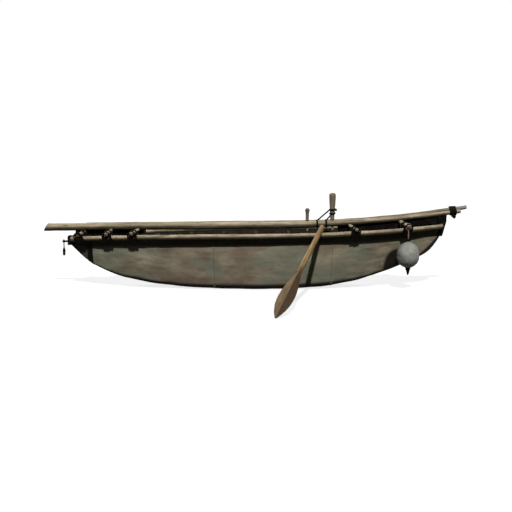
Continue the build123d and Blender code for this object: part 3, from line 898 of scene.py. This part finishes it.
@dataclass
class PoleFrame:
    """Rails, cross poles, long poles and posts: peeled saplings, a little crooked and checked.

    Its finishes are the poles' and the inner frame's by grain, the second pole's, the posts', and the
    tar's on the timbers under the long poles. The inner frame's is dark with painted shade, and the tarred
    timbers fill the gap under the long poles with painted shade.
    """

    wood: dict[Grain, Material]
    shaded_inner_wood: dict[Grain, Material]
    second_wood: Material
    post_wood: Material
    tar: Material
    voxel: float = 0.009
    depth: float = 0.0035
    lump: float = 0.11
    hewn_depth: float = 0.003
    hewn_lump: float = 0.08

    def saplings(self, nodes: tuple[str, ...], wood: Material, stretch: Point, seed: float,
                 step: float = 0.0) -> None:
        """Replaces CAD poles with lumpy copies.

        Args:
            nodes: the CAD poles.
            wood: their finish.
            stretch: how the lumps are drawn out.
            seed: where in the noise the first one lies.
            step: how far off the next one lies.
        """
        peeled = Handwork(self.voxel, self.depth, self.lump, stretch, passes=2)
        for index, node in enumerate(nodes):
            piece = peeled.make(node, f"{node}_peeled", seed + index * step)
            dress(piece, wood, node, slot="pole_wood")

    def build(self) -> None:
        """Builds and dresses the poles and finishes the frame inside the cover."""
        long, fore_wood = (0.35, 1.0, 1.0), self.wood[Grain.FORE_AND_AFT]
        self.saplings(("main_pole",), fore_wood, long, 3.0)
        self.saplings(("second_pole",), self.second_wood, long, 10.0)
        self.saplings(("rail_port", "rail_starboard"), fore_wood, long, 17.0, 7.0)
        for vertex in bpy.data.objects["second_pole_peeled"].data.vertices:
            vertex.co.z += spring(vertex.co.x)
        crosses = tuple(f"cross_pole_{name}" for name in CROSS_NAMES)
        self.saplings(crosses, self.wood[Grain.ATHWART], (1.0, 0.35, 1.0), 40.0, 5.0)
        self.saplings(("line_post", "line_peg"), self.post_wood, (1.0, 1.0, 0.4), 80.0, 5.0)
        paint(self.tar, "stern_peg")
        hewn = Handwork(self.voxel, self.hewn_depth, self.hewn_lump, (0.3, 1.0, 1.0))
        # The bearers under the long poles at both ends are tarred timbers, black so that they fill the gap
        # between rail and pole there with painted shade.
        for seed, node in ((140.0, "bow_bearer"), (149.0, "stern_bearer")):
            dress(hewn.make(node, f"{node}_hewn", seed), self.tar, node, slot="tarred_wood")
        inside = ["keelson", "floor_boards", "bow_stem", "stern_stem"]
        for level in ("upper", "lower"):
            inside += [f"{level}_batten_{side}" for side in ("port", "starboard")]
        # The frame inside the cover is finished dark as painted shade.
        paint(self.shaded_inner_wood[Grain.FORE_AND_AFT], *inside)
        paint(self.shaded_inner_wood[Grain.ATHWART], *(f"rib_{number}" for number in range(1, RIBS + 1)))


@dataclass(frozen=True)
class Seat:
    """Where a cross pole lies on a rail: the rail's middle there, unit vectors along both, and a radius."""

    middle: Vector
    run: Vector
    out: Vector
    cross_r: float

    @property
    def rise(self) -> Vector:
        """Gives the unit vector up, square to both timbers."""
        up = self.run.cross(self.out).normalized()
        return up if up.z > 0 else -up


@dataclass
class Lashings:
    """Square lashings at the crossings, and the turns that bind the long poles and tie the post's cords."""

    cord: Material
    cord_r: float = 0.010
    off_wood: float = 1.3
    turns: int = 2
    slings: int = 4
    sling_from: float = 145.0
    sling_sweep: float = 250.0
    sling_steps: int = 18
    rail_r: float = 0.034
    band: float = 0.009
    pole_turns: int = 6
    pole_steps: int = 36
    pole_cord_r: float = 0.0075
    pole_tip_r: float = 0.030
    pole_shift: float = -0.012
    pole_slack: float = 0.002
    knot_r: float = 0.010
    knot_core: float = 0.006
    knot_turns: int = 3
    knot_off: Point = (-0.005, -0.012, -0.024)
    knot_way: Point = (0.8, 0.0, -0.6)
    tie_r: float = 0.006
    tie_turns: int = 2
    post_r: tuple[float, float] = (0.0375, 0.0335)
    post_ties: tuple[float, float] = (0.012, 0.092)
    post_knot: tuple[float, float] = (0.046, -0.008)
    pole_r: float = 0.0485
    pole_ties: tuple[float, float] = (0.012, 0.135)

    def bands(self, node: str) -> list[tuple[Vector, Vector, float]]:
        """Reads the plain bands of a CAD lashing.

        Args:
            node: the CAD lashing.
        Returns:
            Each band's middle, axis and outer radius.
        """
        activate(copy_of(node, "bands"))
        bpy.ops.mesh.separate(type="LOOSE")
        found = []
        for part in list(bpy.context.selected_objects):
            areas: dict[tuple, float] = {}
            for face in part.data.polygons:
                way = face.normal if face.normal.x + face.normal.y * 0.3 > 0 else -face.normal
                key = tuple(round(c, 2) for c in way)
                areas[key] = areas.get(key, 0.0) + face.area
            axis = Vector(max(areas, key=areas.get)).normalized()
            middle = sum((v.co for v in part.data.vertices), Vector()) / len(part.data.vertices)
            spread = [v.co - middle for v in part.data.vertices]
            found.append((middle, axis, max((s - axis * s.dot(axis)).length for s in spread)))
            bpy.data.objects.remove(part)
        return found

    def square(self, seat: Seat) -> list[Path]:
        """Makes the turns that bind a cross pole down on a rail.

        Args:
            seat: where the cross pole lies.
        Returns:
            A closed path for each turn.
        """
        cross_r, rise = seat.cross_r, seat.rise
        over = self.rail_r + cross_r
        flat = self.cord_r * self.off_wood
        wide, under = self.rail_r + flat, -self.rail_r - flat
        bend = self.rail_r * 0.8
        paths = []
        for turn in range(self.turns):
            gap = self.cord_r * (self.off_wood + 2.0 * turn)
            side, out = cross_r + gap, self.rail_r + gap
            half = [(side, out, over), (side, wide, 0.0), (side, bend, under * 0.8), (side, 0.0, under)]
            half += [(side, -bend, under * 0.8), (side, -wide, 0.0), (side, -out, over)]
            half += [(cross_r * 0.7, -out, over + cross_r * 0.8), (0.0, -out, over + cross_r + flat)]
            loop = half + [(-a, -b, c) for a, b, c in half]
            paths.append([seat.middle + seat.run * a + seat.out * b + rise * c for a, b, c in loop])
        return paths

    def sling(self, seat: Seat) -> list[Path]:
        """Makes the turns that hang round the rail right under the cross pole.

        Args:
            seat: where the cross pole lies.
        Returns:
            An open path for each turn.
        """
        level = seat.rise.cross(seat.run).normalized()
        paths = []
        for turn in range(self.slings):
            along = seat.cross_r * (2 * (turn + 0.5) / self.slings - 1)
            arc = []
            for step in range(self.sling_steps + 1):
                angle = math.radians(self.sling_from + self.sling_sweep * step / self.sling_steps)
                spoke = level * math.cos(angle) + seat.rise * math.sin(angle)
                arc.append(seat.middle + seat.run * along + spoke * (self.rail_r + self.cord_r))
            paths.append(arc)
        return paths

    def crossing(self, name: str) -> None:
        """Lashes one cross pole to both rails.

        Args:
            name: the cross pole's name.
        """
        node = f"lashing_{name}"
        found = self.bands(node)
        paths, under = [], []
        for side in (1, -1):
            here = [band for band in found if band[0].y * side > 0]
            on_rail = sorted((band for band in here if abs(band[1].x) > 0.7), key=lambda band: band[0].x)
            _, axis, radius = next(band for band in here if abs(band[1].x) <= 0.7)
            aft, fore = on_rail[0][0], on_rail[1][0]
            out = axis if axis.y * side > 0 else -axis
            seat = Seat((aft + fore) / 2, (fore - aft).normalized(), out, radius - self.band)
            paths += self.square(seat)
            under += self.sling(seat)
        turns = cords("square_turns", paths, self.cord_r, closed=True, smooth=True)
        slings = cords("sling_turns", under, self.cord_r)
        dress(join(f"{node}_turns", [turns, slings]), self.cord, node)

    def pole_binding(self) -> None:
        """Binds the two long poles together ahead of the bow."""
        middle = corners_of("pole_lashing")[1]
        loops = []
        for index in range(self.pole_turns):
            x = middle.x + self.pole_shift + (index - (self.pole_turns - 1) / 2) * 2 * self.pole_cord_r
            near = Vector((x, -self.pole_tip_r, middle.z))
            far = Vector((x, self.pole_tip_r, middle.z + spring(x)))
            ring = []
            for step in range(self.pole_steps):
                turn = 2 * math.pi * (step + 0.5) / self.pole_steps
                spoke = Vector((0.0, math.cos(turn), math.sin(turn)))
                centre = far if spoke.dot(far - near) > 0 else near
                ring.append(centre + spoke * (self.pole_tip_r + self.pole_cord_r + self.pole_slack))
            loops.append(ring)
        tied = cords("tied", loops, self.pole_cord_r, closed=True)
        ahead, aside, down = self.knot_off
        corner = Vector((ahead, aside - self.pole_tip_r - middle.y, down - self.pole_tip_r))
        turns = coil(middle + corner, Vector(self.knot_way), self.knot_core, self.knot_r, self.knot_turns)
        knot = cords("knot", [turns], self.knot_r)
        dress(join("pole_lashing_turns", [tied, knot]), self.cord, "pole_lashing")

    def ties(self) -> None:
        """Ties the post's taut cords round the post and round the pole."""
        post = corners_of("line_post")[1]
        pole = surface_of("main_pole")
        low, _, high = corners_of("post_cords")
        below, above = self.post_ties
        top = high.z - below
        paths = []
        for height, radius in zip((top, low.z + above), self.post_r):
            paths.append(coil(Vector((post.x, post.y, height)), UP, radius, self.tie_r, self.tie_turns))
        for x in (low.x + place for place in self.pole_ties):
            crest = pole.ray_cast(Vector((x, post.y, 3.0)), -UP)[0]
            centre = Vector((x, post.y, crest.z - self.pole_r))
            run = Vector((1.0, 0.0, 0.01)).normalized()
            paths.append(coil(centre, run, self.pole_r, self.tie_r, self.tie_turns))
        ahead, aside = self.post_knot
        knot_at = Vector((post.x + ahead, post.y + aside, top))
        paths.append(coil(knot_at, Vector((0.0, 1.0, 0.0)), self.tie_r, self.tie_r, self.knot_turns))
        dress(cords("post_ties", paths, self.tie_r), self.cord)

    def build(self) -> None:
        """Builds and dresses the lashings."""
        for name in CROSS_NAMES:
            self.crossing(name)
        self.pole_binding()
        paint(self.cord, "post_cords", "tail_cord_loop")
        self.ties()


@dataclass
class StemHeads:
    """The tarred blocks on the two ends."""

    tar: Material
    hewn: Handwork = Handwork(0.007, 0.005, 0.05, passes=3)
    cut: float = 0.058
    cut_from: float = 0.90

    def cut_back(self, piece: Piece) -> None:
        """Cuts the bow block back towards its foot, along the line of the stem.

        Args:
            piece: the block.
        """
        low, _, high = corners_of("bow_head")
        for vertex in piece.data.vertices:
            deep = share_of(vertex.co.z, self.cut_from, low.z)
            vertex.co.x -= self.cut * deep * share_of(vertex.co.x, low.x, high.x)

    def build(self) -> None:
        """Builds and dresses both blocks."""
        for node, seed, cut in (("bow_head", 120.0, self.cut_back), ("stern_head", 129.0, None)):
            dress(self.hewn.make(node, f"{node}_hewn", seed, cut), self.tar, node, slot="tarred_wood")


@dataclass
class Float:
    """The blown-up hide float on its loop, with a tied neck and a stub of tail."""

    hide: Material
    neck: Material
    cord: Material
    blown: Handwork = Handwork(0.006, 0.005, 0.12, passes=3)
    gathered: Handwork = Handwork(0.004, 0.006, 0.02, (1.0, 1.0, 0.2))
    neck_r: float = 0.022
    tie_r: float = 0.006
    tie_drop: float = 0.010
    tie_turns: int = 3

    def build(self) -> None:
        """Builds and dresses the float, its tail, its tied neck and its loop."""
        bladder = self.blown.make("float", "float_blown", 9.0)
        dress(bladder, self.hide, "float", slot="float_hide", body=Body.FLOAT)
        tail = self.gathered.make("float_tail", "float_tail_gathered", 17.0)
        dress(tail, self.cord, "float_tail", body=Body.FLOAT)
        _, middle, high = corners_of("float_neck")
        spot = Vector((middle.x, middle.y, high.z - self.tie_drop))
        tie = coil(spot, UP, self.neck_r, self.tie_r, self.tie_turns)
        dress(cords("float_neck_tie", [tie], self.tie_r), self.cord, body=Body.FLOAT)
        paint(self.neck, "float_neck", "float_hanger")


@dataclass
class Paddle:
    """The one-piece paddle, its ridge and edges a little worn."""

    wood: Material
    carved: Handwork = Handwork(0.005, 0.0012, 0.06, worn=0.4, passes=1)

    def build(self) -> None:
        """Builds and dresses the paddle."""
        piece = self.carved.make("paddle", "paddle_carved", 31.0)
        dress(piece, self.wood, "paddle", slot="paddle_wood", body=Body.PADDLE)


@dataclass
class TailCord:
    """The short cord that hangs from the stern peg, with a frayed end."""

    cord: Material
    length: float = 0.168
    diameter: float = 0.014
    sway: tuple[float, ...] = (0.0, 0.0, 0.003, -0.002, 0.0)
    strands: int = 9
    strand_r: float = 0.005
    fray_from: float = 0.108
    # How far from the middle and how far down each strand runs.
    fray: tuple[tuple[float, float], ...] = ((0.006, 0.0), (0.015, 0.04), (0.011, 0.105))

    def build(self) -> None:
        """Builds and dresses the cord and its frayed end."""
        _, middle, high = corners_of("tail_cord")
        x, y, top = middle.x, middle.y, high.z
        drop = self.length / (len(self.sway) - 1)
        route = [Vector((x + aside, y, top - drop * index)) for index, aside in enumerate(self.sway)]
        piece = cord_curve("tail_cord_hung", [route], self.diameter / 2, smooth=True, fine=(3, 12))
        dress(piece, self.cord, "tail_cord")
        start = Vector((x, y, top - self.length + self.fray_from))
        strands = []
        for index in range(self.strands):
            turn = 2 * math.pi * index / self.strands
            way = Vector((math.cos(turn), math.sin(turn), 0.0))
            strands.append([start + way * out - UP * down for out, down in self.fray])
        tassel = cords("tail_cord_fray", strands, self.strand_r)
        dress(tassel, self.cord)


@dataclass
class Studio:
    """Pale floor, plain light and the camera at the photograph's angle."""

    focal_px: float = 900.0
    frame_px: float = 512.0
    sensor_mm: float = 36.0
    camera_at: Point = (0.0, -12.3, 1.85)
    pitch_deg: float = 6.66
    key_way: Point = (-0.05, 0.68, -0.73)
    key_strength: float = 4.6
    fill_way: Point = (0.25, -0.62, -0.74)
    fill_strength: float = 1.8
    sun_size_deg: float = 2.0
    sky: float = 0.045
    floor_size: float = 60.0
    floor_tone: float = 0.9
    floor_glow: float = 0.8
    floor_bounce: float = 0.03

    def seen(self, tree: bpy.types.NodeTree) -> Socket:
        """Tells rays that show the background from rays that light the object.

        Args:
            tree: the floor's or the world's node tree.
        Returns:
            1 for camera, glossy and transmission rays, 0 for the rest.
        """
        found = add_node(tree, "LightPath", out="Is Camera Ray")
        rays = found.node.outputs
        for name in ("Is Glossy Ray", "Is Transmission Ray"):
            found = add_node(tree, "Math", {"operation": "MAXIMUM"}, {0: found, 1: rays[name]})
        return found

    def floor(self) -> None:
        """Lays a floor that the camera sees almost white, and that throws little light back."""
        bpy.ops.object.select_all(action="DESELECT")
        bpy.ops.mesh.primitive_plane_add(size=self.floor_size, location=(0.0, 0.0, -0.001))
        floor = bpy.context.object
        floor.name = "floor"
        shade = Shade("pale floor")
        tree = shade.tree
        seen = self.seen(tree)
        tone = add_node(tree, "MapRange", {3: self.floor_bounce, 4: self.floor_tone}, {0: seen})
        shade.done(add_node(tree, "CombineColor", links={0: tone, 1: tone, 2: tone}), 1.0, 0.0)
        glow = add_node(tree, "Emission", {0: WHITE, 1: 1.0})
        share = add_node(tree, "MapRange", {4: self.floor_glow}, {0: seen})
        both = add_node(tree, "MixShader", links={0: share, 1: shade.shader.outputs[0], 2: glow})
        tree.links.new(both, tree.nodes["Material Output"].inputs[0])
        floor.data.materials.append(shade.material)

    def light(self) -> None:
        """Sets a hard key from above and in front, a weak fill from behind and a low even sky."""
        world = bpy.data.worlds.new("studio")
        bpy.context.scene.world = world
        world.use_nodes = True
        tree = world.node_tree
        level = add_node(tree, "MapRange", {3: self.sky}, {0: self.seen(tree)})
        background = tree.nodes["Background"]
        background.inputs["Color"].default_value = linear(WHITE)
        tree.links.new(level, background.inputs["Strength"])
        for name, way, strength in (("key", self.key_way, self.key_strength),
                                    ("fill", self.fill_way, self.fill_strength)):
            sun = bpy.data.lights.new(name, "SUN")
            sun.energy = strength
            sun.angle = math.radians(self.sun_size_deg)
            lamp = bpy.data.objects.new(name, sun)
            lamp.rotation_mode = "QUATERNION"
            lamp.rotation_quaternion = Vector(way).to_track_quat("-Z", "Y")
            bpy.context.scene.collection.objects.link(lamp)

    def build(self) -> None:
        """Builds the floor, the light and the camera."""
        self.floor()
        self.light()
        lens = bpy.data.cameras.new("camera")
        lens.sensor_width = self.sensor_mm
        lens.lens = self.focal_px * self.sensor_mm / self.frame_px
        camera = bpy.data.objects.new("camera", lens)
        camera.location = self.camera_at
        camera.rotation_euler = (math.radians(90.0 - self.pitch_deg), 0.0, 0.0)
        bpy.context.scene.collection.objects.link(camera)
        bpy.context.scene.camera = camera
        bpy.context.scene.view_settings.view_transform = "Standard"


def main() -> None:
    """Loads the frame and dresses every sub-assembly."""
    logging.basicConfig(level=logging.INFO, format="%(message)s")
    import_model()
    tip_at = 2.70
    wood, inner = {}, {}
    for grain, grey_from in ((Grain.FORE_AND_AFT, tip_at), (Grain.ATHWART, None)):
        way = grain.name.lower().replace("_", " ")
        # Peeled spruce, dried in the sun: tan streaks, grey at the tips, painted shade below.
        wood[grain] = TimberFinish(f"weathered spruce {way}", "#A5987F", "#8F836B", "#5F5545", grain,
                                   grey_from=grey_from, underside_shade=0.8).build()
        # Split willow inside the boat: dark brown and dull, its darkness painted shade.
        inner[grain] = TimberFinish(f"smoked willow {way}", "#4A3B2B", "#3B2E20", "#231A12", grain).build()
    # The same spruce, darker: a browner pole behind the pale one.
    second_wood = TimberFinish("dark weathered spruce", "#7D735F", "#6A604E", "#463E32", Grain.FORE_AND_AFT,
                               grey_from=tip_at, underside_shade=0.8).build()
    # Spruce handled every day: greyer, with its streaks upright.
    post_wood = TimberFinish("weathered spruce post", "#857D6B", "#726A58", "#484136", Grain.UPRIGHT).build()
    # Larch rubbed with oil: warm and fine-grained, its blade darker, with painted shade on one side of the
    # ridge.
    paddle_wood = TimberFinish("oiled larch paddle", "#937A52", "#7C6340", "#2A1E11", Grain.PADDLE_SHAFT,
                               streak_mm=16.0, roughness=0.65, contrast=0.3, shade_below=-1.02,
                               shaded_face=(0.955569, -0.252543, -0.15202), shade_ridge=0.8297).build()
    # Scraped, oiled and smoked hide: mottled and greasy outside.
    hide = HideFinish("smoked hide").build()
    # The stern's hide is darker: the same mottle, nearly black.
    stern_hide = HideFinish("dark stern hide", light="#5E5450", mid="#4B423F", brown="#3F3633",
                            dark="#2A2422", cool="#47443F", flush="#4A3D3A").build()
    # Painted shade on the inner face: matt and dark.
    shadowed = CordFinish("sooty hide inside", "#1B1713", "#2E2720", 30.0, 0.9).build()
    # Cut hide cord soaked in tar: black, browner where it rubs.
    cord = CordFinish("tarred hide cord", "#0D0B09", "#1C1712").build()
    # Sinew thread: dry, and painted paler to outweigh the shadows of its stitches, so that the seams hardly
    # show.
    sinew = CordFinish("twisted sinew", "#8F846E", "#A1967E", 4.0, 0.8).build()
    # Hewn timber under thick tar: black and lumpy.
    tar = CordFinish("tarred timber", "#0C0A09", "#1A1511", 22.0, 0.9).build()
    # Thin scraped hide, blown up: pale grey with a soft shine.
    float_hide = FloatFinish("scraped float hide").build()
    # The same hide gathered and tied: browner and closed up.
    neck_hide = FloatFinish("tied neck hide", "#6E554B", "#5B453C", "#48352E", 0.1, 0.0).build()
    HideCover(hide, stern_hide, shadowed, cord, sinew).build()
    PoleFrame(wood, inner, second_wood, post_wood, tar).build()
    Lashings(cord).build()
    StemHeads(tar).build()
    Float(float_hide, neck_hide, cord).build()
    Paddle(paddle_wood).build()
    TailCord(cord).build()
    Studio().build()


if __name__ == "__main__":
    main()
